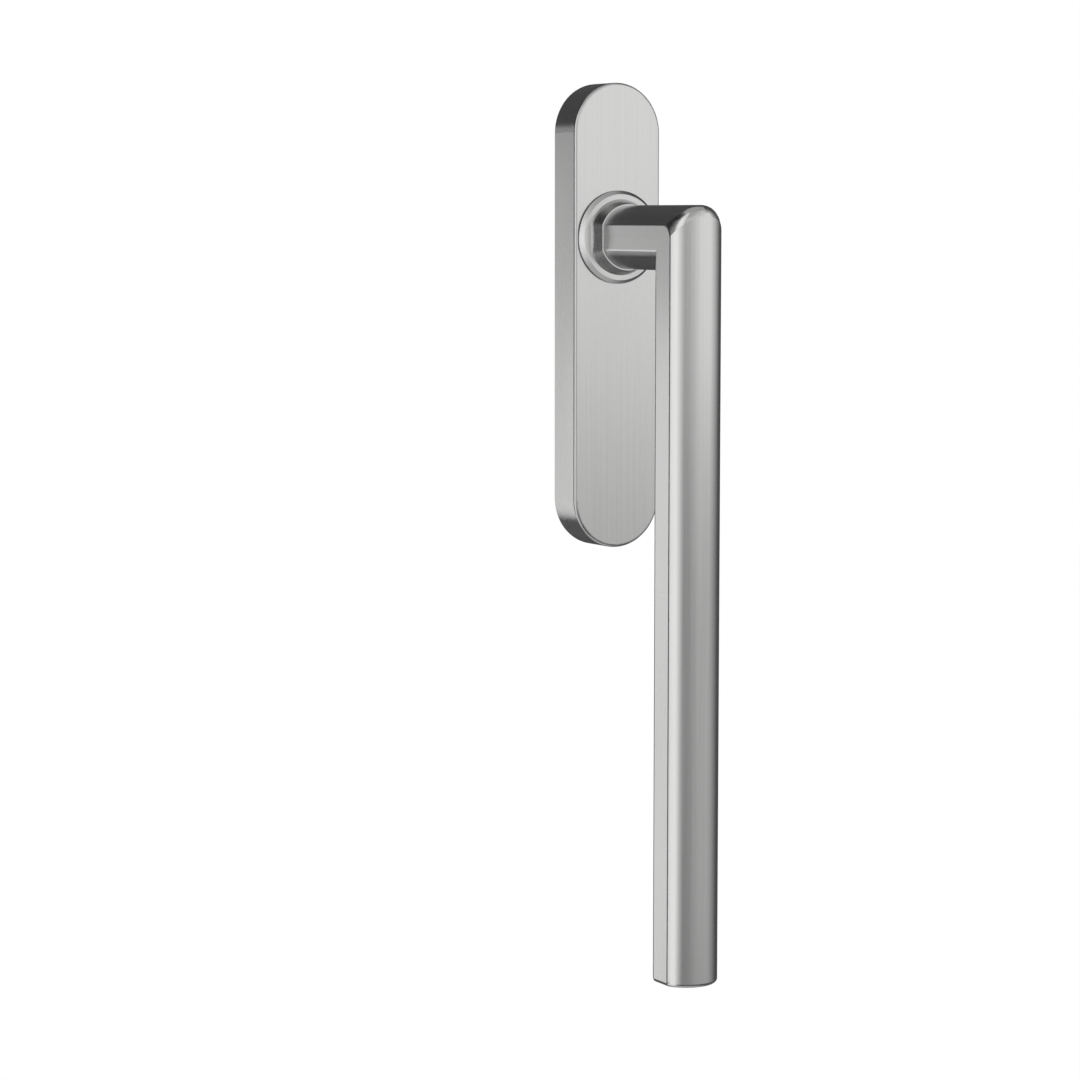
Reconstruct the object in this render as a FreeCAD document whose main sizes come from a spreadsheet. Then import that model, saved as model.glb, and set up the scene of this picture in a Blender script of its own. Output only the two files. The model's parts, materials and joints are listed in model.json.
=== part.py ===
"""Lift and slide door handle: a lever on an oblong backplate.

Frame: X right and Z up as seen from the room, Y into the door. The origin is on the spindle axis at the
door face. The lever hangs down. "Front distance" means the distance from the door face towards the room.
All sizes are in millimetres.
"""
import FreeCAD, Part
import math
import os
import Sketcher

# Driving dimensions, one row of the sheet each
SIZES = {
    # cover plate
    "cover_width": 36.0,
    "cover_above_spindle": 55.5,
    "cover_below_spindle": 113.0,
    "cover_depth": 14.5,
    "cover_wall": 1.5,
    "cover_edge_radius": 1.2,
    "opening_clearance": 0.5,
    # carrier under the cover
    "cover_clearance": 0.15,
    "base_rim": 3.0,
    "base_floor": 3.5,
    "rib_thickness": 1.8,
    "rib_pitch": 24.0,
    "rib_inset": 16.0,
    "rear_pocket_clearance": 1.0,
    "rear_pocket_depth": 5.0,
    # bearing
    "journal_diameter": 20.0,
    "running_clearance": 0.05,
    "axial_clearance": 0.1,
    "bush_wall": 2.5,
    "bush_flange_width": 1.95,
    "bush_flange_thickness": 0.8,
    "boss_wall": 3.0,
    # fixing screws
    "screw_spacing": 80.0,
    "screw_top_inset": 15.5,
    "screw_diameter": 6.0,
    "screw_head_diameter": 10.0,
    "screw_head_height": 4.0,
    "screw_projection": 18.0,
    "screw_shank_relief": 0.65,
    "screw_socket_width": 5.0,
    "screw_socket_depth": 2.5,
    "screw_tip_chamfer": 0.8,
    "screw_hole_clearance": 0.2,
    "screw_seat_clearance": 0.75,
    "screw_seat_height": 5.0,
    "screw_boss_wall": 2.25,
    # lugs round the screws that sit in the door leaf
    "lug_diameter": 12.0,
    "lug_length": 10.0,
    "lug_chamfer": 0.8,
    # cover clips
    "clip_length": 12.0,
    "clip_height": 7.0,
    "clip_thickness": 0.4,
    "clip_notch_depth": 1.6,
    "clip_notch_floor": 4.5,
    "clip_gap": 0.05,
    "clip_inset": 14.0,
    # lever section and run
    "grip_diameter": 23.0,
    "grip_width": 21.2,
    "grip_corner_radius": 1.4,
    "tube_wall": 2.0,
    "tube_inner_corner": 0.4,
    "grip_reach": 47.0,
    "grip_drop": 265.0,
    "mitre_round_radius": 4.6,
    "mitre_round_lap": 0.05,
    "mitre_round_overrun": 3.0,
    # end cap
    "cap_rim_height": 2.0,
    "cap_rim_radius": 1.4,
    "cap_plug_length": 8.0,
    # collar
    "collar_diameter": 33.6,
    "collar_gap": 0.3,
    "collar_edge_height": 0.5,
    "collar_rise": 2.0,
    "collar_face_width": 1.3,
    "foot_step": 2.2,
    "foot_land": 0.4,
    "foot_height": 5.0,
    # hub and spindle
    "hub_plug_length": 22.0,
    "hub_back_gap": 0.5,
    "spindle_width": 10.0,
    "spindle_depth": 26.0,
    "spindle_projection": 18.0,
    "spindle_chamfer": 1.0,
    "pin_diameter": 4.0,
    "pin_front_distance": 9.0,
    "pin_inset": 0.4,
    "pin_chamfer": 0.4,
    # axial hold behind the carrier
    "washer_thickness": 1.0,
    "washer_width": 3.5,
    "disc_spring_width": 3.0,
    "disc_spring_thickness": 0.8,
    "disc_spring_cone": 0.6,
    "ring_thickness": 1.2,
    "ring_groove_depth": 0.5,
    "ring_width": 2.6,
    "ring_opening": 5.0,
    "ring_lug_radius": 1.9,
    "ring_lug_hole": 0.9,
}

# Values worked out from the driving dimensions, as formulas in the same sheet
DERIVED = {
    "upper_end": "cover_above_spindle - cover_width / 2",
    "lower_end": "cover_width / 2 - cover_below_spindle",
    "cover_inner_width": "cover_width - 2 * cover_wall",
    "base_depth": "cover_depth - cover_wall",
    "base_width": "cover_inner_width - 2 * cover_clearance",
    "tray_width": "base_width - 2 * base_rim",
    "bush_bore": "journal_diameter + 2 * running_clearance",
    "bush_diameter": "bush_bore + 2 * bush_wall",
    "bush_flange_diameter": "bush_diameter + 2 * bush_flange_width",
    "cover_opening": "bush_flange_diameter + 2 * opening_clearance",
    "tray_near": "bush_diameter / 2 + boss_wall",
    "flange_front": "base_depth + bush_flange_thickness",
    "screw_high": "cover_above_spindle - screw_top_inset",
    "screw_low": "screw_high - screw_spacing",
    "screw_hole": "screw_diameter + 2 * screw_hole_clearance",
    "screw_seat": "screw_head_diameter + 2 * screw_seat_clearance",
    "screw_boss": "screw_seat + 2 * screw_boss_wall",
    "screw_shank": "screw_diameter - screw_shank_relief",
    "collar_back": "cover_depth + collar_gap",
    "grip_axis": "cover_depth + grip_reach",
    "tube_end": "grip_drop - cap_rim_height",
    "bore_diameter": "grip_diameter - 2 * tube_wall",
    "bore_width": "grip_width - 2 * tube_wall",
    "mitre_round_centre": "grip_diameter / 2 - mitre_round_radius + mitre_round_lap",
    "mitre_round_end": "grip_diameter / 2 + mitre_round_overrun",
    "foot_diameter": "grip_diameter + 2 * foot_step",
    "foot_width": "grip_width + 2 * foot_step",
    "foot_corner": "grip_corner_radius + foot_step",
    "collar_front": "collar_back + collar_rise",
    "foot_taper": "atan((foot_step - foot_land) / foot_height)",
    "collar_inner_radius": "collar_diameter / 2 - collar_face_width",
    "washer_diameter": "journal_diameter + 2 * washer_width",
    "disc_spring_diameter": "journal_diameter + 2 * disc_spring_width",
    "rear_pocket_diameter": "washer_diameter + 2 * rear_pocket_clearance",
    "washer_back": "rear_pocket_depth - axial_clearance - washer_thickness",
    "disc_spring_back": "washer_back - disc_spring_thickness - disc_spring_cone",
    "ring_back": "disc_spring_back - ring_thickness",
    "groove_diameter": "journal_diameter - 2 * ring_groove_depth",
    "pin_length": "journal_diameter - 2 * pin_inset",
    "clip_seat": "base_width / 2 - clip_notch_depth",
    "clip_reach": "cover_inner_width / 2 - clip_gap",
}

ROOM = FreeCAD.Vector(0, 0, 1)
START = 1
END = 2
CENTRE = 3
SOCKET_SIDES = 6
SCREW_HEIGHTS = {"upper": "sizes.screw_high", "lower": "sizes.screw_low"}
PLANE_TOLERANCE = 0.001
EDGE_SAMPLES = 9


def fill_sheet(document):
    """Write the driving dimensions and the formulas into the sheet, one alias a row."""
    sheet = document.addObject("Spreadsheet::Sheet", "sizes")
    rows = [(alias, str(value)) for alias, value in SIZES.items()]
    rows += [(alias, "=" + formula) for alias, formula in DERIVED.items()]
    for row, (alias, text) in enumerate(rows, start=1):
        sheet.set("A%d" % row, alias)
        sheet.set("B%d" % row, text)
        sheet.setAlias("B%d" % row, alias)
    document.recompute()
    return sheet


doc = FreeCAD.newDocument("lift_slide_handle")
sizes = fill_sheet(doc)


def number(expression):
    """The present value of an expression, for a sketch's first drawing."""
    return float(sizes.evalExpression(str(expression).replace("sizes.", "")))


def new_body(label):
    body = doc.addObject("PartDesign::Body", label)
    body.Label = label
    return body


def origin_item(body, role):
    return next(item for item in body.Origin.OriginFeatures if item.Role == role)


def new_sketch(body, name, role="XZ_Plane", offset=None):
    """A sketch on one of the body's origin planes. On XZ_Plane the offset is the front distance."""
    sketch = body.newObject("Sketcher::SketchObject", name)
    sketch.AttachmentSupport = [(origin_item(body, role), "")]
    sketch.MapMode = "FlatFace"
    if offset:
        sketch.setExpression("AttachmentOffset.Base.z", offset)
    return sketch


def drive(sketch, kind, where, name, expression):
    """Add a dimension and bind it to the sheet."""
    index = sketch.addConstraint(Sketcher.Constraint(kind, *where, number(expression)))
    sketch.renameConstraint(index, name)
    sketch.setExpression("Constraints." + name, expression)


def place(sketch, geometry, point, name, x, y):
    """Hold a point of the sketch at x, y from the sketch's origin."""
    if x == "0":
        sketch.addConstraint(Sketcher.Constraint("PointOnObject", geometry, point, -2))
    else:
        drive(sketch, "DistanceX", (-1, START, geometry, point), name + "_x", x)
    if y == "0":
        sketch.addConstraint(Sketcher.Constraint("PointOnObject", geometry, point, -1))
    else:
        drive(sketch, "DistanceY", (-1, START, geometry, point), name + "_y", y)


def vector(x, y):
    return FreeCAD.Vector(number(x), number(y), 0)


def circle(sketch, name, radius, x="0", y="0"):
    shape = Part.Circle(vector(x, y), ROOM, number(radius))
    index = sketch.addGeometry(shape)
    drive(sketch, "Radius", (index,), name + "_radius", radius)
    place(sketch, index, CENTRE, name, x, y)


def polygon(sketch, name, points):
    """A closed outline of straight lines through points given as pairs of expressions."""
    corners = [vector(x, y) for x, y in points]
    first = sketch.GeometryCount
    count = len(corners)
    for i in range(count):
        sketch.addGeometry(Part.LineSegment(corners[i], corners[(i + 1) % count]))
    for i in range(count):
        following = first + (i + 1) % count
        sketch.addConstraint(Sketcher.Constraint("Coincident", first + i, END, following, START))
    for i, (x, y) in enumerate(points):
        place(sketch, first + i, START, "%s%d" % (name, i), x, y)


def rectangle(sketch, name, left, right, low, high):
    polygon(sketch, name, [(left, low), (right, low), (right, high), (left, high)])


def stadium(sketch, name, width):
    """An upright oblong with round ends, whose end arcs share the plate's two end centres."""
    half = number(width) / 2
    bottom = number("lower_end")
    top = number("upper_end")
    first = sketch.GeometryCount
    upper = Part.Circle(FreeCAD.Vector(0, top, 0), ROOM, half)
    lower = Part.Circle(FreeCAD.Vector(0, bottom, 0), ROOM, half)
    sketch.addGeometry(Part.ArcOfCircle(upper, 0, math.pi))
    sketch.addGeometry(Part.LineSegment(FreeCAD.Vector(-half, top, 0), FreeCAD.Vector(-half, bottom, 0)))
    sketch.addGeometry(Part.ArcOfCircle(lower, math.pi, 2 * math.pi))
    sketch.addGeometry(Part.LineSegment(FreeCAD.Vector(half, bottom, 0), FreeCAD.Vector(half, top, 0)))
    for i in range(4):
        following = first + (i + 1) % 4
        sketch.addConstraint(Sketcher.Constraint("Tangent", first + i, END, following, START))
    place(sketch, first, CENTRE, name + "_upper", "0", "sizes.upper_end")
    place(sketch, first + 2, CENTRE, name + "_lower", "0", "sizes.lower_end")
    drive(sketch, "Radius", (first,), name + "_radius", width + " / 2")


def round_section(sketch, name, diameter, width, corner):
    """The lever's section: a circle with two upright flats and rounded corners."""
    radius = number(diameter) / 2
    half = number(width) / 2
    small = number(corner)
    reach = half - small
    height = math.sqrt((radius - small) ** 2 - reach ** 2)
    turn = math.atan2(height, reach)
    first = sketch.GeometryCount

    def arc(x, y, size, start, end):
        ring = Part.Circle(FreeCAD.Vector(x, y, 0), ROOM, size)
        sketch.addGeometry(Part.ArcOfCircle(ring, start, end))

    def flat(x, start, end):
        sketch.addGeometry(Part.LineSegment(FreeCAD.Vector(x, start, 0), FreeCAD.Vector(x, end, 0)))

    arc(0, 0, radius, turn, math.pi - turn)
    arc(-reach, height, small, math.pi - turn, math.pi)
    flat(-half, height, -height)
    arc(-reach, -height, small, math.pi, math.pi + turn)
    arc(0, 0, radius, math.pi + turn, 2 * math.pi - turn)
    arc(reach, -height, small, -turn, 0)
    flat(half, -height, height)
    arc(reach, height, small, 0, turn)
    for i in range(8):
        following = first + (i + 1) % 8
        sketch.addConstraint(Sketcher.Constraint("Tangent", first + i, END, following, START))
    for big in (first, first + 4):
        sketch.addConstraint(Sketcher.Constraint("Coincident", big, CENTRE, -1, START))
    drive(sketch, "Radius", (first,), name + "_radius", diameter + " / 2")
    drive(sketch, "DistanceX", (first + 2, START, -1, START), name + "_left", width + " / 2")
    drive(sketch, "DistanceX", (-1, START, first + 6, START), name + "_right", width + " / 2")
    drive(sketch, "Radius", (first + 1,), name + "_corner", corner)
    for other in (first + 3, first + 5, first + 7):
        sketch.addConstraint(Sketcher.Constraint("Equal", first + 1, other))


def pad(body, sketch, length, towards_room=True):
    """Extrude a sketch; on XZ_Plane sketches the plain direction is towards the room."""
    feature = body.newObject("PartDesign::Pad", sketch.Name + "_pad")
    feature.Profile = sketch
    feature.setExpression("Length", length)
    feature.Reversed = not towards_room
    return feature


def pocket(body, sketch, length, towards_room=True):
    """Cut a sketch; the cut runs towards the room unless told otherwise."""
    feature = body.newObject("PartDesign::Pocket", sketch.Name + "_pocket")
    feature.Profile = sketch
    feature.setExpression("Length", length)
    feature.Reversed = towards_room
    return feature


def turned(body, sketch, kind="PartDesign::Revolution"):
    """Turn a YZ_Plane sketch about the spindle axis, as a solid or as a groove."""
    feature = body.newObject(kind, sketch.Name + "_turned")
    feature.Profile = sketch
    feature.ReferenceAxis = (sketch, ["H_Axis"])
    feature.Angle = 360
    return feature


def dress(body, kind, base, size, chosen):
    """Fillet or chamfer the edges of base for which chosen(edge) is true."""
    doc.recompute()
    names = ["Edge%d" % i for i, edge in enumerate(base.Shape.Edges, start=1) if chosen(edge)]
    feature = body.newObject("PartDesign::" + kind, base.Name + "_" + kind.lower())
    feature.Base = (base, names)
    feature.setExpression("Radius" if kind == "Fillet" else "Size", size)
    return feature


def lies_at(axis, place_at):
    """A test for edges that lie wholly in the plane where that coordinate has that value."""
    def chosen(edge):
        box = edge.BoundBox
        low = getattr(box, axis + "Min")
        high = getattr(box, axis + "Max")
        return abs(low - place_at) < PLANE_TOLERANCE and abs(high - place_at) < PLANE_TOLERANCE
    return chosen


# Fixed pieces
def cover_plate():
    body = new_body("cover_plate")
    outline = new_sketch(body, "cover_outline")
    stadium(outline, "outer", "sizes.cover_width")
    block = pad(body, outline, "sizes.cover_depth")
    front = lies_at("Y", -number("cover_depth"))
    dress(body, "Fillet", block, "sizes.cover_edge_radius", front)
    hollow = new_sketch(body, "cover_hollow")
    stadium(hollow, "inner", "sizes.cover_inner_width")
    pocket(body, hollow, "sizes.cover_depth - sizes.cover_wall")
    opening = new_sketch(body, "cover_hub_opening")
    circle(opening, "hub_opening", "sizes.cover_opening / 2")
    pocket(body, opening, "sizes.cover_depth")
    return body


def base_plate():
    body = new_body("base_plate")
    outline = new_sketch(body, "base_outline")
    stadium(outline, "outer", "sizes.base_width")
    pad(body, outline, "sizes.base_depth")

    # Two trays open to the front, each round its own screw boss
    depth = "sizes.base_depth - sizes.base_floor"
    for name, side, end in (("upper", 1, "sizes.upper_end"), ("lower", -1, "sizes.lower_end")):
        tray = new_sketch(body, name + "_tray", offset="sizes.base_floor")
        half_stadium(tray, name, "sizes.tray_width", "%d * sizes.tray_near" % side, end, side)
        circle(tray, name + "_boss", "sizes.screw_boss / 2", "0", SCREW_HEIGHTS[name])
        pocket(body, tray, depth)

    # Cross ribs in the long lower tray
    rib = new_sketch(body, "rib", offset="sizes.base_floor")
    rib_low = "sizes.lower_end + sizes.rib_inset"
    half_tray = "sizes.tray_width / 2"
    rectangle(rib, "rib", "-" + half_tray, half_tray, rib_low, rib_low + " + sizes.rib_thickness")
    rib_pad = pad(body, rib, depth)
    row = body.newObject("PartDesign::LinearPattern", "rib_row")
    row.Originals = [rib_pad]
    row.Direction = (rib, ["V_Axis"])
    row.Mode = "Spacing"
    row.setExpression("Offset", "sizes.rib_pitch")
    row.Occurrences = 2
    body.Tip = row

    # Bush bore, pocket for the washers behind it, screw holes with head seats and lugs
    bore = new_sketch(body, "bush_seat")
    circle(bore, "bush", "sizes.bush_diameter / 2")
    pocket(body, bore, "sizes.base_depth")
    rear = new_sketch(body, "rear_pocket")
    circle(rear, "rear", "sizes.rear_pocket_diameter / 2")
    pocket(body, rear, "sizes.rear_pocket_depth")
    holes = new_sketch(body, "screw_holes")
    seats = new_sketch(body, "screw_seats", offset="sizes.screw_seat_height")
    lugs = new_sketch(body, "screw_lugs")
    for name, screw in SCREW_HEIGHTS.items():
        circle(holes, name + "_hole", "sizes.screw_hole / 2", "0", screw)
        circle(seats, name + "_seat", "sizes.screw_seat / 2", "0", screw)
        circle(lugs, name + "_lug", "sizes.lug_diameter / 2", "0", screw)
        circle(lugs, name + "_lug_bore", "sizes.screw_hole / 2", "0", screw)
    pocket(body, holes, "sizes.base_depth")
    pocket(body, seats, "sizes.base_depth - sizes.screw_seat_height")
    lug_pad = pad(body, lugs, "sizes.lug_length", towards_room=False)
    dress(body, "Chamfer", lug_pad, "sizes.lug_chamfer", lies_at("Y", number("lug_length")))

    # Notches for the cover clips
    notches = new_sketch(body, "clip_notches", offset="sizes.clip_notch_floor")
    for name, side, height in clip_places():
        inner = "%d * sizes.clip_seat" % side
        outer = "%d * sizes.cover_inner_width / 2" % side
        low = height + " - sizes.clip_length / 2"
        high = height + " + sizes.clip_length / 2"
        rectangle(notches, name, inner, outer, low, high)
    pocket(body, notches, "sizes.base_depth - sizes.clip_notch_floor")
    return body


def half_stadium(sketch, name, width, flat_end, arc_end, side):
    """A tray outline: straight across at flat_end, round at arc_end; side is 1 upwards, -1 downwards."""
    half = number(width) / 2
    near = number(flat_end)
    far = number(arc_end)
    first = sketch.GeometryCount
    ring = Part.Circle(FreeCAD.Vector(0, far, 0), ROOM, half)
    start = 0 if side > 0 else math.pi
    sketch.addGeometry(Part.ArcOfCircle(ring, start, start + math.pi))
    left = FreeCAD.Vector(-side * half, far, 0)
    left_near = FreeCAD.Vector(-side * half, near, 0)
    right_near = FreeCAD.Vector(side * half, near, 0)
    right = FreeCAD.Vector(side * half, far, 0)
    sketch.addGeometry(Part.LineSegment(left, left_near))
    sketch.addGeometry(Part.LineSegment(left_near, right_near))
    sketch.addGeometry(Part.LineSegment(right_near, right))
    sketch.addConstraint(Sketcher.Constraint("Tangent", first, END, first + 1, START))
    sketch.addConstraint(Sketcher.Constraint("Coincident", first + 1, END, first + 2, START))
    sketch.addConstraint(Sketcher.Constraint("Coincident", first + 2, END, first + 3, START))
    sketch.addConstraint(Sketcher.Constraint("Tangent", first + 3, END, first, START))
    sketch.addConstraint(Sketcher.Constraint("Vertical", first + 1))
    sketch.addConstraint(Sketcher.Constraint("Horizontal", first + 2))
    place(sketch, first, CENTRE, name + "_end", "0", arc_end)
    drive(sketch, "Radius", (first,), name + "_radius", width + " / 2")
    drive(sketch, "DistanceY", (-1, START, first + 2, START), name + "_near", flat_end)


def clip_places():
    """Name, side (1 right, -1 left) and height expression of each cover clip."""
    upper = "sizes.upper_end - sizes.clip_inset"
    lower = "sizes.lower_end + sizes.clip_inset"
    heights = (("upper", upper), ("lower", lower))
    sides = (("right", 1), ("left", -1))
    return [(level + "_" + hand, side, height) for level, height in heights for hand, side in sides]


def bearing_bush():
    body = new_body("bearing_bush")
    profile = new_sketch(body, "bush_profile", "YZ_Plane")
    bore = "sizes.bush_bore / 2"
    outer = "sizes.bush_diameter / 2"
    flange = "sizes.bush_flange_diameter / 2"
    back = "-sizes.rear_pocket_depth"
    seat = "-sizes.base_depth"
    front = "-sizes.flange_front"
    points = [(back, bore), (back, outer), (seat, outer), (seat, flange), (front, flange), (front, bore)]
    polygon(profile, "bush", points)
    turned(body, profile)
    return body


def fixing_screws():
    body = new_body("fixing_screws")
    profile = new_sketch(body, "screw_profile", "YZ_Plane")
    axis = "sizes.screw_high"
    shank = axis + " + sizes.screw_shank / 2"
    thread = axis + " + sizes.screw_diameter / 2"
    head = axis + " + sizes.screw_head_diameter / 2"
    seat = "-sizes.screw_seat_height"
    front = "-sizes.screw_seat_height - sizes.screw_head_height"
    shoulder = "sizes.lug_length"
    tip = "sizes.screw_projection"
    neck = "sizes.screw_projection - sizes.screw_tip_chamfer"
    bevel = thread + " - sizes.screw_tip_chamfer"
    points = [(tip, axis), (front, axis), (front, head), (seat, head), (seat, shank)]
    points += [(shoulder, shank), (shoulder, thread), (neck, thread), (tip, bevel)]
    polygon(profile, "screw", points)
    screw = body.newObject("PartDesign::Revolution", "screw_turned")
    screw.Profile = profile
    screw.ReferenceAxis = (profile, ["Edge1"])
    screw.Angle = 360
    socket = new_sketch(body, "screw_socket", offset="sizes.screw_seat_height + sizes.screw_head_height")
    across = "sizes.screw_socket_width / sqrt(3)"
    corners = []
    for i in range(SOCKET_SIDES):
        turn = 360 * i / SOCKET_SIDES
        x = "%s * cos(%g deg)" % (across, turn)
        corners.append((x, axis + " + %s * sin(%g deg)" % (across, turn)))
    polygon(socket, "hexagon", corners)
    recess = pocket(body, socket, "sizes.screw_socket_depth", towards_room=False)
    pair = body.newObject("PartDesign::LinearPattern", "screw_pair")
    pair.Originals = [screw, recess]
    pair.Direction = (socket, ["V_Axis"])
    pair.Reversed = True
    pair.Mode = "Spacing"
    pair.setExpression("Offset", "sizes.screw_spacing")
    pair.Occurrences = 2
    body.Tip = pair
    return body


def cover_clips():
    """Bowed leaves: the ends rest in the notch, the crown bears on the wall of the cover."""
    body = new_body("cover_clips")
    leaves = new_sketch(body, "clip_leaves", offset="sizes.clip_notch_floor")
    for name, side, height in clip_places():
        bowed_leaf(leaves, name, side, height)
    pad(body, leaves, "sizes.clip_height")
    return body


def bowed_leaf(sketch, name, side, height):
    """One leaf's outline: two equal arcs joined by its thin ends."""
    half = "(sizes.clip_length / 2 - sizes.clip_gap)"
    bow = "(sizes.clip_reach - sizes.clip_seat - sizes.clip_thickness)"
    radius = "(%s ^ 2 + %s ^ 2) / (2 * %s)" % (half, bow, bow)
    outer = "%d * (sizes.clip_seat + sizes.clip_thickness)" % side
    inner = "%d * sizes.clip_seat" % side
    low = height + " - " + half
    high = height + " + " + half
    swing = math.asin(number(half) / number(radius))
    start = -swing if side > 0 else math.pi - swing
    first = sketch.GeometryCount
    for crown in (number("clip_reach"), number("clip_reach - clip_thickness")):
        centre = FreeCAD.Vector(side * (crown - number(radius)), number(height), 0)
        ring = Part.Circle(centre, ROOM, number(radius))
        sketch.addGeometry(Part.ArcOfCircle(ring, start, start + 2 * swing))
    sketch.addGeometry(Part.LineSegment(vector(outer, high), vector(inner, high)))
    sketch.addGeometry(Part.LineSegment(vector(outer, low), vector(inner, low)))
    low_end, high_end = (START, END) if side > 0 else (END, START)
    for arc, line_end in ((first, START), (first + 1, END)):
        sketch.addConstraint(Sketcher.Constraint("Coincident", arc, high_end, first + 2, line_end))
        sketch.addConstraint(Sketcher.Constraint("Coincident", arc, low_end, first + 3, line_end))
        drive(sketch, "Radius", (arc,), "%s_arc%d" % (name, line_end), radius)
    for line, y in ((first + 2, high), (first + 3, low)):
        place(sketch, line, START, "%s_outer%d" % (name, line), outer, y)
        place(sketch, line, END, "%s_inner%d" % (name, line), inner, y)


# Pieces that turn with the lever
def lever():
    body = new_body("lever")
    section = new_sketch(body, "lever_section", offset="sizes.collar_back")
    round_section(section, "outer", "sizes.grip_diameter", "sizes.grip_width", "sizes.grip_corner_radius")
    bore = new_sketch(body, "lever_bore", offset="sizes.collar_back")
    round_section(bore, "inner", "sizes.bore_diameter", "sizes.bore_width", "sizes.tube_inner_corner")
    path = new_sketch(body, "lever_path", "YZ_Plane")
    root = vector("-collar_back", "0")
    corner = vector("-grip_axis", "0")
    end = vector("-grip_axis", "-tube_end")
    path.addGeometry(Part.LineSegment(root, corner))
    path.addGeometry(Part.LineSegment(corner, end))
    path.addConstraint(Sketcher.Constraint("Coincident", 0, END, 1, START))
    place(path, 0, START, "root", "-sizes.collar_back", "0")
    place(path, 1, START, "corner", "-sizes.grip_axis", "0")
    place(path, 1, END, "end", "-sizes.grip_axis", "-sizes.tube_end")
    doc.recompute()
    outside = mitred_pipe(body, "PartDesign::AdditivePipe", section, path)
    round_mitre(body, outside)
    mitred_pipe(body, "PartDesign::SubtractivePipe", bore, path)
    return body


def mitred_pipe(body, kind, profile, path):
    """Sweep a section round the lever's square corner, with a plain mitre there."""
    pipe = body.newObject(kind, profile.Name + "_pipe")
    pipe.Profile = profile
    pipe.Spine = (path, ["Edge1", "Edge2"])
    pipe.Transition = "Right corner"
    doc.recompute()
    return pipe


def round_mitre(body, outside):
    """Round the outer edge of the mitre with one profile that is carried along it without turning."""
    profile = new_sketch(body, "mitre_round", "YZ_Plane")
    radius = "sizes.mitre_round_radius"
    centre = "sizes.mitre_round_centre"
    end = "sizes.mitre_round_end"
    ahead = "-sizes.grip_axis - "
    ring = Part.Circle(vector(ahead + centre, centre), ROOM, number(radius))
    arc = profile.addGeometry(Part.ArcOfCircle(ring, math.pi / 2, math.pi))
    corners = [
        vector(ahead + centre, centre + " + " + radius),
        vector(ahead + centre, end),
        vector(ahead + end, end),
        vector(ahead + end, centre),
        vector(ahead + centre + " - " + radius, centre),
    ]
    lines = [profile.addGeometry(Part.LineSegment(*ends)) for ends in zip(corners, corners[1:])]
    points = [(arc, START)] + [(line, point) for line in lines for point in (START, END)] + [(arc, END)]
    for first, second in zip(points[0::2], points[1::2]):
        profile.addConstraint(Sketcher.Constraint("Coincident", *first, *second))
    for line, direction in zip(lines, ("Vertical", "Horizontal", "Vertical", "Horizontal")):
        profile.addConstraint(Sketcher.Constraint(direction, line))
    profile.addConstraint(Sketcher.Constraint("Vertical", arc, START, arc, CENTRE))
    profile.addConstraint(Sketcher.Constraint("Horizontal", arc, END, arc, CENTRE))
    drive(profile, "Radius", (arc,), "radius", radius)
    place(profile, arc, CENTRE, "centre", ahead + centre, centre)
    place(profile, lines[1], END, "end", ahead + end, end)
    doc.recompute()
    numbered = enumerate(outside.Shape.Edges, start=1)
    chosen = [(edge.CenterOfMass.x, "Edge%d" % i) for i, edge in numbered if on_outer_mitre(edge)]
    cut = body.newObject("PartDesign::SubtractivePipe", "mitre_round_cut")
    cut.Profile = profile
    cut.Spine = (outside, [name for _, name in sorted(chosen)])
    cut.Mode = "Fixed"
    doc.recompute()


def on_outer_mitre(edge):
    """True for the edges where neck and grip meet on the outside of the corner."""
    lowest = number("grip_width") / 8
    axis = number("grip_axis")
    return all(
        point.z > lowest and abs(point.y + axis + point.z) < PLANE_TOLERANCE
        for point in edge.discretize(EDGE_SAMPLES)
    )


def grip_end_cap():
    body = new_body("grip_end_cap")
    rim = new_sketch(body, "cap_rim", "XY_Plane", "-sizes.grip_drop")
    shifted_section(rim, "rim", "sizes.grip_diameter", "sizes.grip_width", "sizes.grip_corner_radius")
    rim_pad = pad(body, rim, "sizes.cap_rim_height")
    dress(body, "Fillet", rim_pad, "sizes.cap_rim_radius", lies_at("Z", -number("grip_drop")))
    plug = new_sketch(body, "cap_plug", "XY_Plane", "-sizes.tube_end")
    shifted_section(plug, "plug", "sizes.bore_diameter", "sizes.bore_width", "sizes.tube_inner_corner")
    pad(body, plug, "sizes.cap_plug_length")
    return body


def shifted_section(sketch, name, diameter, width, corner):
    """The lever's section about the grip's axis; the flats stay upright in X."""
    round_section(sketch, name, diameter, width, corner)
    sketch.setExpression("AttachmentOffset.Base.y", "-sizes.grip_axis")


def neck_collar():
    body = new_body("neck_collar")
    profile = new_sketch(body, "collar_profile", "YZ_Plane")
    back = "-sizes.collar_back"
    edge = "-sizes.collar_back - sizes.collar_edge_height"
    face = "-sizes.collar_back - sizes.collar_rise"
    rim = "sizes.collar_diameter / 2"
    points = [(back, "0"), (back, rim), (edge, rim), (face, "sizes.collar_inner_radius"), (face, "0")]
    polygon(profile, "collar", points)
    turned(body, profile)
    foot = new_sketch(body, "collar_foot", offset="sizes.collar_front")
    round_section(foot, "foot", "sizes.foot_diameter", "sizes.foot_width", "sizes.foot_corner")
    foot_pad = pad(body, foot, "sizes.foot_height")
    foot_pad.setExpression("TaperAngle", "-sizes.foot_taper")
    opening = new_sketch(body, "collar_opening", offset="sizes.collar_back")
    round_section(opening, "neck", "sizes.grip_diameter", "sizes.grip_width", "sizes.grip_corner_radius")
    pocket(body, opening, "sizes.collar_rise + sizes.foot_height")
    return body


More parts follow.
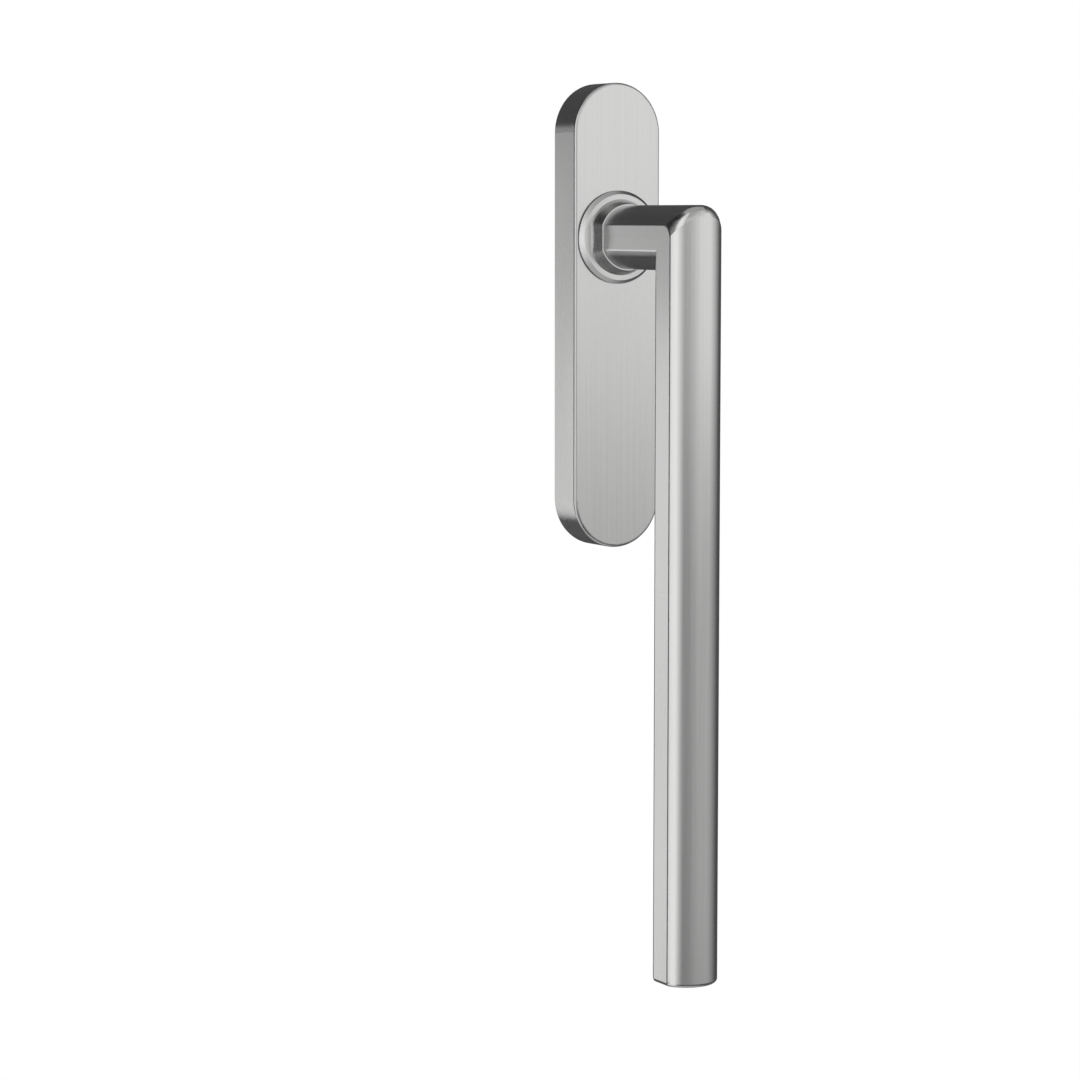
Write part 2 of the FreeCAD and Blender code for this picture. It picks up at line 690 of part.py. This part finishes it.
def hub():
    body = new_body("hub")
    journal = new_sketch(body, "hub_journal", offset="sizes.hub_back_gap")
    circle(journal, "journal", "sizes.journal_diameter / 2")
    pad(body, journal, "sizes.collar_back - sizes.hub_back_gap")
    plug = new_sketch(body, "hub_plug", offset="sizes.collar_back")
    round_section(plug, "plug", "sizes.bore_diameter", "sizes.bore_width", "sizes.tube_inner_corner")
    pad(body, plug, "sizes.hub_plug_length")
    socket = new_sketch(body, "hub_socket", offset="sizes.hub_back_gap")
    half = "sizes.spindle_width / 2"
    rectangle(socket, "socket", "-" + half, half, "-" + half, half)
    pocket(body, socket, "sizes.spindle_depth - sizes.hub_back_gap")
    groove = new_sketch(body, "hub_groove", "YZ_Plane")
    outside = "sizes.journal_diameter"
    bottom = "sizes.groove_diameter / 2"
    behind = "-sizes.ring_back"
    ahead = "-sizes.ring_back - sizes.ring_thickness"
    polygon(groove, "groove", [(behind, bottom), (behind, outside), (ahead, outside), (ahead, bottom)])
    turned(body, groove, "PartDesign::Groove")
    cross_hole(body, "hub_pin_hole", "sizes.journal_diameter")
    return body


def cross_hole(body, name, length):
    """A hole along X for the spindle's pin."""
    hole = new_sketch(body, name, "YZ_Plane")
    circle(hole, "pin", "sizes.pin_diameter / 2", "-sizes.pin_front_distance", "0")
    cut = pocket(body, hole, length)
    cut.Midplane = True
    return cut


def square_spindle():
    body = new_body("square_spindle")
    section = new_sketch(body, "spindle_section", offset="-sizes.spindle_projection")
    half = "sizes.spindle_width / 2"
    rectangle(section, "spindle", "-" + half, half, "-" + half, half)
    bar = pad(body, section, "sizes.spindle_projection + sizes.spindle_depth")
    tail = lies_at("Y", number("spindle_projection"))
    dress(body, "Chamfer", bar, "sizes.spindle_chamfer", tail)
    cross_hole(body, "spindle_pin_hole", "sizes.spindle_width")
    return body


def spindle_pin():
    body = new_body("spindle_pin")
    section = new_sketch(body, "pin_section", "YZ_Plane")
    circle(section, "pin", "sizes.pin_diameter / 2", "-sizes.pin_front_distance", "0")
    rod = pad(body, section, "sizes.pin_length")
    rod.Midplane = True
    half = number("pin_length") / 2
    left = lies_at("X", -half)
    right = lies_at("X", half)
    dress(body, "Chamfer", rod, "sizes.pin_chamfer", lambda edge: left(edge) or right(edge))
    return body


def flat_ring(label, outside, back, front):
    """A turned ring on the journal between two front distances."""
    body = new_body(label)
    profile = new_sketch(body, label + "_profile", "YZ_Plane")
    bore = "sizes.journal_diameter / 2"
    points = [("-" + back, bore), ("-" + back, outside), ("-" + front, outside), ("-" + front, bore)]
    polygon(profile, "ring", points)
    turned(body, profile)
    return body


def thrust_washer():
    back = "(sizes.flange_front + sizes.axial_clearance)"
    outside = "sizes.bush_flange_diameter / 2"
    return flat_ring("thrust_washer", outside, back, "sizes.collar_back")


def support_washer():
    front = "(sizes.washer_back + sizes.washer_thickness)"
    return flat_ring("support_washer", "sizes.washer_diameter / 2", "sizes.washer_back", front)


def disc_spring():
    """A slightly conical spring ring: its rim bears on the washer, its bore on the retaining ring."""
    body = new_body("disc_spring")
    profile = new_sketch(body, "disc_spring_profile", "YZ_Plane")
    bore = "sizes.journal_diameter / 2"
    rim = "sizes.disc_spring_diameter / 2"
    back = "-sizes.disc_spring_back"
    front = "-sizes.washer_back"
    bore_front = back + " - sizes.disc_spring_thickness"
    rim_back = front + " + sizes.disc_spring_thickness"
    polygon(profile, "cone", [(back, bore), (rim_back, rim), (front, rim), (bore_front, bore)])
    turned(body, profile)
    return body


def retaining_ring():
    body = new_body("retaining_ring")
    outline = new_sketch(body, "ring_outline", offset="sizes.ring_back")
    inner = "sizes.groove_diameter / 2"
    circle(outline, "outer", inner + " + sizes.ring_width")
    circle(outline, "inner", inner)
    pad(body, outline, "sizes.ring_thickness")
    gap = new_sketch(body, "ring_gap", offset="sizes.ring_back")
    half = "sizes.ring_opening / 2"
    rectangle(gap, "gap", "-" + half, half, "-sizes.journal_diameter", "0")
    pocket(body, gap, "sizes.ring_thickness")
    lugs = new_sketch(body, "ring_lugs", offset="sizes.ring_back")
    holes = new_sketch(body, "ring_lug_holes", offset="sizes.ring_back")
    middle = "-(%s + sizes.ring_width / 2)" % inner
    for name, side in (("right", 1), ("left", -1)):
        across = "%d * (%s + sizes.ring_lug_radius)" % (side, half)
        circle(lugs, name + "_lug", "sizes.ring_lug_radius", across, middle)
        circle(holes, name + "_hole", "sizes.ring_lug_hole", across, middle)
    pad(body, lugs, "sizes.ring_thickness")
    pocket(body, holes, "sizes.ring_thickness")
    return body


PIECES = (
    cover_plate, base_plate, bearing_bush, fixing_screws, cover_clips,
    lever, grip_end_cap, neck_collar, hub, square_spindle, spindle_pin,
    thrust_washer, support_washer, disc_spring, retaining_ring,
)


def main():
    bodies = [piece() for piece in PIECES]
    doc.recompute()
    failed = [item.Name for item in doc.Objects if "Invalid" in item.State or "Error" in item.State]
    failed += [body.Label for body in bodies if body.Shape.isNull() or not body.Shape.isValid()]
    if failed:
        raise RuntimeError("not built: " + ", ".join(failed))
    os.makedirs("parts", exist_ok=True)
    for body in bodies:
        body.Shape.exportStep("parts/%s.step" % body.Label)
        print(body.Label, len(body.Shape.Solids), "solid(s)", round(body.Shape.Volume, 1), "mm3")


main()
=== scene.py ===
"""Looks of the lift and slide door handle: satin stainless steel in a white studio.

Frame as in the part: metres, X right and Z up as seen from the room, Y into the door, origin on the spindle.
"""
import json
import math

import bmesh
import bpy
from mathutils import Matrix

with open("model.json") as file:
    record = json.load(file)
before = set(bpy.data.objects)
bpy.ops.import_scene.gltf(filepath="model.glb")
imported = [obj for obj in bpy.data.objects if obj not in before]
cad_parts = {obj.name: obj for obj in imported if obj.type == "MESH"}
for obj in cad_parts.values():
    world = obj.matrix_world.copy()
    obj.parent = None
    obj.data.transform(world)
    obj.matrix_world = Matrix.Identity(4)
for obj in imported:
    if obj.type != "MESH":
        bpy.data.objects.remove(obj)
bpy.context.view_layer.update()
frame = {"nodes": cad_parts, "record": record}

# Camera, fitted to the outlines in the photograph: metres, degrees and millimetres of lens
CAMERA_PLACE = (-0.60186, -0.98810, 0.00809)
CAMERA_AZIMUTH = -30.31
CAMERA_PITCH = 5.91
CAMERA_LENS = 104.73
CAMERA_RANGE = 50.0
# Tilt of a camera or lamp that looks level instead of straight down
LEVEL_TILT = 90.0

# Studio
STAGE_CENTRE = (0.0, -0.03, -0.10)
CARD_DISTANCE = 1.8
LOW_CARD_DISTANCE = 0.92
FLOOR_HEIGHT = -1.05
FLOOR_RADIUS = 9.0
FLOOR_SEGMENTS = 96
FLOOR_ROUGHNESS = 0.9
WHITE = (1.0, 1.0, 1.0, 1.0)
WORLD_STRENGTH = 1.0
SOFTBOX_PLACE = (-1.35, -0.08, -0.10)
SOFTBOX_SIZE = (1.15, 2.6)
SOFTBOX_POWER = 1.7
SOFTBOX_TURN = -90.0
CARD_STEPS = 16
# Cards seen only in the metal: azimuths and elevations in degrees, grey at the first and last azimuth.
# Azimuth 0 is straight in front of the door, and 90 is to the right. Flags darken, fades are graded.
CARDS = {
    "right_fade_upper": ((52, 100), (-1.9, 14), (0.98, 0.10)),
    "right_fade_middle": ((52, 100), (-5, -1.9), (0.68, 0.08)),
    "right_fade_lower": ((52, 100), (-21.5, -5), (0.54, 0.06)),
    "right_flag": ((100, 201), (-31, 10.5), (0.08, 0.06)),
    "back_top_flag": ((100, 201), (10.5, 62), (0.08, 0.07)),
    "wall_side_card": ((201, 211.5), (1.2, 6), (0.85, 0.85)),
    "back_left_flag": ((211.5, 223), (0.4, 6), (0.42, 0.42)),
    "wall_fade": ((201, 223), (6, 13), (0.50, 0.28)),
    "wall_top_flag": ((201, 223), (13, 62), (0.07, 0.07)),
    "left_gap_flag": ((223, 268), (-31, 60), (0.02, 0.02)),
    "strip_upper_edge": ((-62, -43), (-3, 14), (1.0, 0.52)),
    "strip_upper": ((-43, -28), (-3, 14), (0.52, 0.58)),
    "strip_upper_fade": ((-28, 12), (-2, 14), (0.58, 0.97)),
    "strip_middle_fade": ((-28, 12), (-5, -2), (0.45, 0.68)),
    "middle_card": ((12, 52), (-5, -1.9), (0.68, 0.68)),
    "strip_lower_edge": ((-64, -44), (-21.5, -3), (1.0, 0.31)),
    "strip_lower": ((-44, -28), (-21.5, -3), (0.31, 0.33)),
    "strip_lower_fade": ((-28, 10), (-21.5, -5), (0.33, 0.52)),
    "low_card": ((10, 52), (-21.5, -5), (0.52, 0.53)),
    "upper_front_fade": ((-66, 28), (14, 37), (0.60, 0.90)),
    "right_top_fade": ((62, 100), (14, 37), (0.60, 0.05)),
    "upper_top_front_fade": ((-66, 31), (37, 62), (0.40, 0.80)),
    "upper_top_fade": ((31, 100), (37, 62), (0.80, 0.05)),
    "lower_flag": ((-66, 100), (-31, -21.5), (0.12, 0.12)),
    "ceiling": ((-180, 180), (62, 90), (0.45, 0.45)),
}
# Nearer cards, between the object and the floor, in the same form
LOW_CARDS = {
    "ground_flag": ((-66, 257), (-60, -33), (0.12, 0.12)),
    "back_ground_flag": ((100, 223), (-35, -28), (0.11, 0.11)),
    "ground_card": ((-180, 180), (-90, -60), (0.50, 0.50)),
}

# Corner of the lever, where the brushing turns from the grip's length to the neck's
GRIP_AXIS = -0.0615

# Finishes: noise scales in cycles a metre, bumps as strength and distance in metres
NOISE_MIDDLE = (0.3, 0.7)
CLOUD_DETAIL = 2.0
GRAIN_DETAIL = 3.0
ACROSS_BRUSHING = 2600.0
ALONG_BRUSHING = 12.0
BRUSHED_CLOUD = (14.0, 14.0, 9.0)
BRUSHED_CLOUD_ROUGHNESS = (-0.02, 0.02)
BRUSHED_BUMP = (0.03, 0.00005)
TURNED_RINGS = (3500.0, 3500.0, 1.0)
CAST_CLOUD = (90.0, 90.0, 90.0)
CAST_BUMP = (0.25, 0.0001)
MOULDED_MOTTLE = (300.0, 300.0, 300.0)
MOULDED_BUMP = (0.1, 0.00005)
# Darkest and lightest colour of each metal and of the acetal
STEEL_TONES = ((0.635, 0.635, 0.63), (0.685, 0.685, 0.68))
CAST_TONES = ((0.50, 0.50, 0.51), (0.57, 0.57, 0.58))
ACETAL_TONES = ((0.022, 0.022, 0.024), (0.034, 0.034, 0.036))
ZINC_TONES = ((0.58, 0.59, 0.62), (0.66, 0.67, 0.70))
SPRING_TONES = ((0.40, 0.40, 0.41), (0.47, 0.47, 0.48))


class Nodes:
    """Shorthand for building one material's nodes."""

    def __init__(self, name):
        self.material = bpy.data.materials.new(name)
        self.material.use_nodes = True
        self.tree = self.material.node_tree
        self.shader = self.tree.nodes["Principled BSDF"]

    def add(self, kind, **settings):
        node = self.tree.nodes.new(kind)
        for key, value in settings.items():
            setattr(node, key, value)
        return node

    def link(self, source, target):
        self.tree.links.new(source, target)

    def feed(self, source, socket):
        self.link(source, self.shader.inputs[socket])

    def set(self, socket, value):
        self.shader.inputs[socket].default_value = value

    def place(self):
        return self.add("ShaderNodeTexCoord").outputs["Object"]

    def stretched(self, source, scale, detail=CLOUD_DETAIL):
        """Noise on coordinates scaled by three factors, in cycles a metre."""
        mapping = self.add("ShaderNodeMapping")
        mapping.inputs["Scale"].default_value = scale
        self.link(source, mapping.inputs["Vector"])
        noise = self.add("ShaderNodeTexNoise")
        noise.inputs["Scale"].default_value = 1.0
        noise.inputs["Detail"].default_value = detail
        self.link(mapping.outputs["Vector"], noise.inputs["Vector"])
        return noise.outputs["Fac"]

    def spread(self, source, low, high):
        """Map the middle of a noise to the range from low to high."""
        mapped = self.add("ShaderNodeMapRange")
        mapped.inputs["From Min"].default_value = NOISE_MIDDLE[0]
        mapped.inputs["From Max"].default_value = NOISE_MIDDLE[1]
        mapped.inputs["To Min"].default_value = low
        mapped.inputs["To Max"].default_value = high
        self.link(source, mapped.inputs["Value"])
        return mapped.outputs["Result"]

    def colour_between(self, factor, first, second):
        mix = self.add("ShaderNodeMix", data_type="RGBA")
        self.link(factor, mix.inputs["Factor"])
        mix.inputs["A"].default_value = (*first, 1.0)
        mix.inputs["B"].default_value = (*second, 1.0)
        return mix.outputs["Result"]

    def bump(self, height, strength, distance):
        bump = self.add("ShaderNodeBump")
        bump.inputs["Strength"].default_value = strength
        bump.inputs["Distance"].default_value = distance
        self.link(height, bump.inputs["Height"])
        self.feed(bump.outputs["Normal"], "Normal")


def brushed(name, grain, colours, roughness, anisotropy, axis="Z"):
    """Satin metal: fine streaks in colour, gloss and height.

    grain gives the streaks' noise, and axis is the line that the brushing's sheen turns round.
    """
    nodes = Nodes(name)
    nodes.set("Metallic", 1.0)
    nodes.set("Anisotropic", anisotropy)
    streaks = grain(nodes)
    cloud = nodes.stretched(nodes.place(), BRUSHED_CLOUD)
    tone = nodes.spread(streaks, 0.0, 1.0)
    nodes.feed(nodes.colour_between(tone, *colours), "Base Color")
    blend = nodes.add("ShaderNodeMath", operation="ADD")
    nodes.link(nodes.spread(cloud, *BRUSHED_CLOUD_ROUGHNESS), blend.inputs[0])
    nodes.link(nodes.spread(streaks, *roughness), blend.inputs[1])
    nodes.feed(blend.outputs["Value"], "Roughness")
    nodes.bump(streaks, *BRUSHED_BUMP)
    tangent = nodes.add("ShaderNodeTangent", direction_type="RADIAL", axis=axis)
    nodes.feed(tangent.outputs["Tangent"], "Tangent")
    return nodes.material


def upright_grain(nodes):
    """Streaks along Z."""
    scale = (ACROSS_BRUSHING, ACROSS_BRUSHING, ALONG_BRUSHING)
    return nodes.stretched(nodes.place(), scale, GRAIN_DETAIL)


def outward_grain(nodes):
    """Streaks along Y."""
    scale = (ACROSS_BRUSHING, ALONG_BRUSHING, ACROSS_BRUSHING)
    return nodes.stretched(nodes.place(), scale, GRAIN_DETAIL)


def lever_grain(nodes):
    """Streaks along the grip below the corner's mitre and along the neck behind it."""
    along_grip = upright_grain(nodes)
    along_neck = outward_grain(nodes)
    parts = nodes.add("ShaderNodeSeparateXYZ")
    nodes.link(nodes.place(), parts.inputs["Vector"])
    reach = nodes.add("ShaderNodeMath", operation="ADD")
    nodes.link(parts.outputs["Y"], reach.inputs[0])
    nodes.link(parts.outputs["Z"], reach.inputs[1])
    behind = nodes.add("ShaderNodeMath", operation="GREATER_THAN")
    nodes.link(reach.outputs["Value"], behind.inputs[0])
    behind.inputs[1].default_value = GRIP_AXIS
    mix = nodes.add("ShaderNodeMix", data_type="FLOAT")
    nodes.link(behind.outputs["Value"], mix.inputs["Factor"])
    nodes.link(along_grip, mix.inputs["A"])
    nodes.link(along_neck, mix.inputs["B"])
    return mix.outputs["Result"]


def turned_grain(nodes):
    """Fine rings round the spindle axis, as left by turning."""
    parts = nodes.add("ShaderNodeSeparateXYZ")
    nodes.link(nodes.place(), parts.inputs["Vector"])
    flat = nodes.add("ShaderNodeCombineXYZ")
    nodes.link(parts.outputs["X"], flat.inputs["X"])
    nodes.link(parts.outputs["Z"], flat.inputs["Y"])
    radius = nodes.add("ShaderNodeVectorMath", operation="LENGTH")
    nodes.link(flat.outputs["Vector"], radius.inputs[0])
    rings = nodes.add("ShaderNodeCombineXYZ")
    nodes.link(radius.outputs["Value"], rings.inputs["X"])
    nodes.link(parts.outputs["Y"], rings.inputs["Y"])
    return nodes.stretched(rings.outputs["Vector"], TURNED_RINGS)


def cast_metal(name, colours, roughness, grain_scale):
    """Matt cast or plated metal: fine even grain and faint cloudy tone."""
    nodes = Nodes(name)
    nodes.set("Metallic", 1.0)
    place = nodes.place()
    grain = nodes.stretched(place, (grain_scale, grain_scale, grain_scale), GRAIN_DETAIL)
    cloud = nodes.stretched(place, CAST_CLOUD)
    nodes.feed(nodes.colour_between(nodes.spread(cloud, 0.0, 1.0), *colours), "Base Color")
    nodes.feed(nodes.spread(grain, *roughness), "Roughness")
    nodes.bump(grain, *CAST_BUMP)
    return nodes.material


def moulded(name, colours, roughness):
    """Moulded acetal: dull sheen with a faint mottle."""
    nodes = Nodes(name)
    mottle = nodes.stretched(nodes.place(), MOULDED_MOTTLE)
    nodes.feed(nodes.colour_between(nodes.spread(mottle, 0.0, 1.0), *colours), "Base Color")
    nodes.feed(nodes.spread(mottle, *roughness), "Roughness")
    nodes.bump(mottle, *MOULDED_BUMP)
    return nodes.material


MATERIALS = {
    "cover_steel": brushed("cover_satin", upright_grain, STEEL_TONES, roughness=(0.22, 0.27), anisotropy=0.3),
    "lever_steel": brushed("lever_satin", lever_grain, STEEL_TONES, roughness=(0.19, 0.23), anisotropy=0.3),
    "collar_steel": brushed(
        "collar_satin", turned_grain, STEEL_TONES, roughness=(0.24, 0.29), anisotropy=0.8, axis="Y"
    ),
    "cast_alloy": cast_metal("cast_carrier", CAST_TONES, roughness=(0.42, 0.58), grain_scale=2200.0),
    "acetal": moulded("acetal_black", ACETAL_TONES, roughness=(0.38, 0.50)),
    "plated_steel": cast_metal("zinc_plate", ZINC_TONES, roughness=(0.28, 0.40), grain_scale=1500.0),
    "spring_steel": cast_metal("spring_satin", SPRING_TONES, roughness=(0.26, 0.38), grain_scale=1800.0),
}
for part in frame["record"]["subparts"]:
    for slot in frame["nodes"][part["node"]].material_slots:
        slot.material = MATERIALS[part["material_slot"]]

# Only the collar shows in the other pieces: in the photograph the plate has no mirror image of the lever
for name, piece in frame["nodes"].items():
    piece.visible_glossy = name == "neck_collar"


def glow(name):
    """Shine in the grey that the mesh's points carry."""
    material = bpy.data.materials.new(name)
    material.use_nodes = True
    tree = material.node_tree
    tree.nodes.remove(tree.nodes["Principled BSDF"])
    grey = tree.nodes.new("ShaderNodeAttribute")
    grey.attribute_name = "grey"
    light = tree.nodes.new("ShaderNodeEmission")
    tree.links.new(grey.outputs["Fac"], light.inputs["Color"])
    tree.links.new(light.outputs["Emission"], tree.nodes["Material Output"].inputs["Surface"])
    return material


def stage_mesh(name, form, material):
    """An object of the studio, which isn't part of the handle."""
    mesh = bpy.data.meshes.new(name)
    form.to_mesh(mesh)
    form.free()
    piece = bpy.data.objects.new(name, mesh)
    bpy.context.scene.collection.objects.link(piece)
    mesh.materials.append(material)
    return piece


def add_floor():
    form = bmesh.new()
    bmesh.ops.create_circle(form, cap_ends=True, segments=FLOOR_SEGMENTS, radius=FLOOR_RADIUS)
    bmesh.ops.translate(form, verts=form.verts, vec=(0.0, 0.0, FLOOR_HEIGHT))
    nodes = Nodes("floor_pale")
    nodes.set("Base Color", WHITE)
    nodes.set("Roughness", FLOOR_ROUGHNESS)
    nodes.set("Specular IOR Level", 0.0)
    stage_mesh("floor", form, nodes.material)


def add_card(name, azimuths, elevations, greys, distance):
    """A curved card round the object that only mirror-like reflections see."""
    form = bmesh.new()
    layer = form.verts.layers.float.new("grey")
    rows = []
    for i in range(CARD_STEPS + 1):
        elevation = math.radians(elevations[0] + (elevations[1] - elevations[0]) * i / CARD_STEPS)
        row = []
        for j in range(CARD_STEPS + 1):
            azimuth = math.radians(azimuths[0] + (azimuths[1] - azimuths[0]) * j / CARD_STEPS)
            x = STAGE_CENTRE[0] + distance * math.sin(azimuth) * math.cos(elevation)
            y = STAGE_CENTRE[1] - distance * math.cos(azimuth) * math.cos(elevation)
            z = STAGE_CENTRE[2] + distance * math.sin(elevation)
            point = form.verts.new((x, y, z))
            point[layer] = greys[0] + (greys[1] - greys[0]) * j / CARD_STEPS
            row.append(point)
        rows.append(row)
    for i in range(CARD_STEPS):
        for j in range(CARD_STEPS):
            form.faces.new((rows[i][j], rows[i][j + 1], rows[i + 1][j + 1], rows[i + 1][j]))
    card = stage_mesh(name, form, glow(name + "_paint"))
    card.visible_camera = False
    card.visible_diffuse = False
    card.visible_transmission = False
    card.visible_shadow = False


def add_softbox():
    light = bpy.data.lights.new("left_softbox", "AREA")
    light.shape = "RECTANGLE"
    light.size, light.size_y = SOFTBOX_SIZE
    light.energy = SOFTBOX_POWER
    lamp = bpy.data.objects.new("left_softbox", light)
    lamp.location = SOFTBOX_PLACE
    lamp.rotation_euler = (math.radians(LEVEL_TILT), 0.0, math.radians(SOFTBOX_TURN))
    bpy.context.scene.collection.objects.link(lamp)


# Floor, cards and light
add_floor()
for name, (azimuths, elevations, greys) in CARDS.items():
    add_card(name, azimuths, elevations, greys, CARD_DISTANCE)
for name, (azimuths, elevations, greys) in LOW_CARDS.items():
    add_card(name, azimuths, elevations, greys, LOW_CARD_DISTANCE)
add_softbox()

world = bpy.data.worlds.new("white_studio")
world.use_nodes = True
background = world.node_tree.nodes["Background"]
background.inputs["Color"].default_value = WHITE
background.inputs["Strength"].default_value = WORLD_STRENGTH
# The metal finds the world only where no card is in the way
world.cycles.sampling_method = "NONE"
scene = bpy.context.scene
scene.world = world
scene.view_settings.view_transform = "Standard"

lens = bpy.data.cameras.new("camera")
lens.lens = CAMERA_LENS
lens.clip_end = CAMERA_RANGE
camera = bpy.data.objects.new("camera", lens)
camera.location = CAMERA_PLACE
camera.rotation_euler = (math.radians(LEVEL_TILT - CAMERA_PITCH), 0.0, math.radians(CAMERA_AZIMUTH))
scene.collection.objects.link(camera)
scene.camera = camera
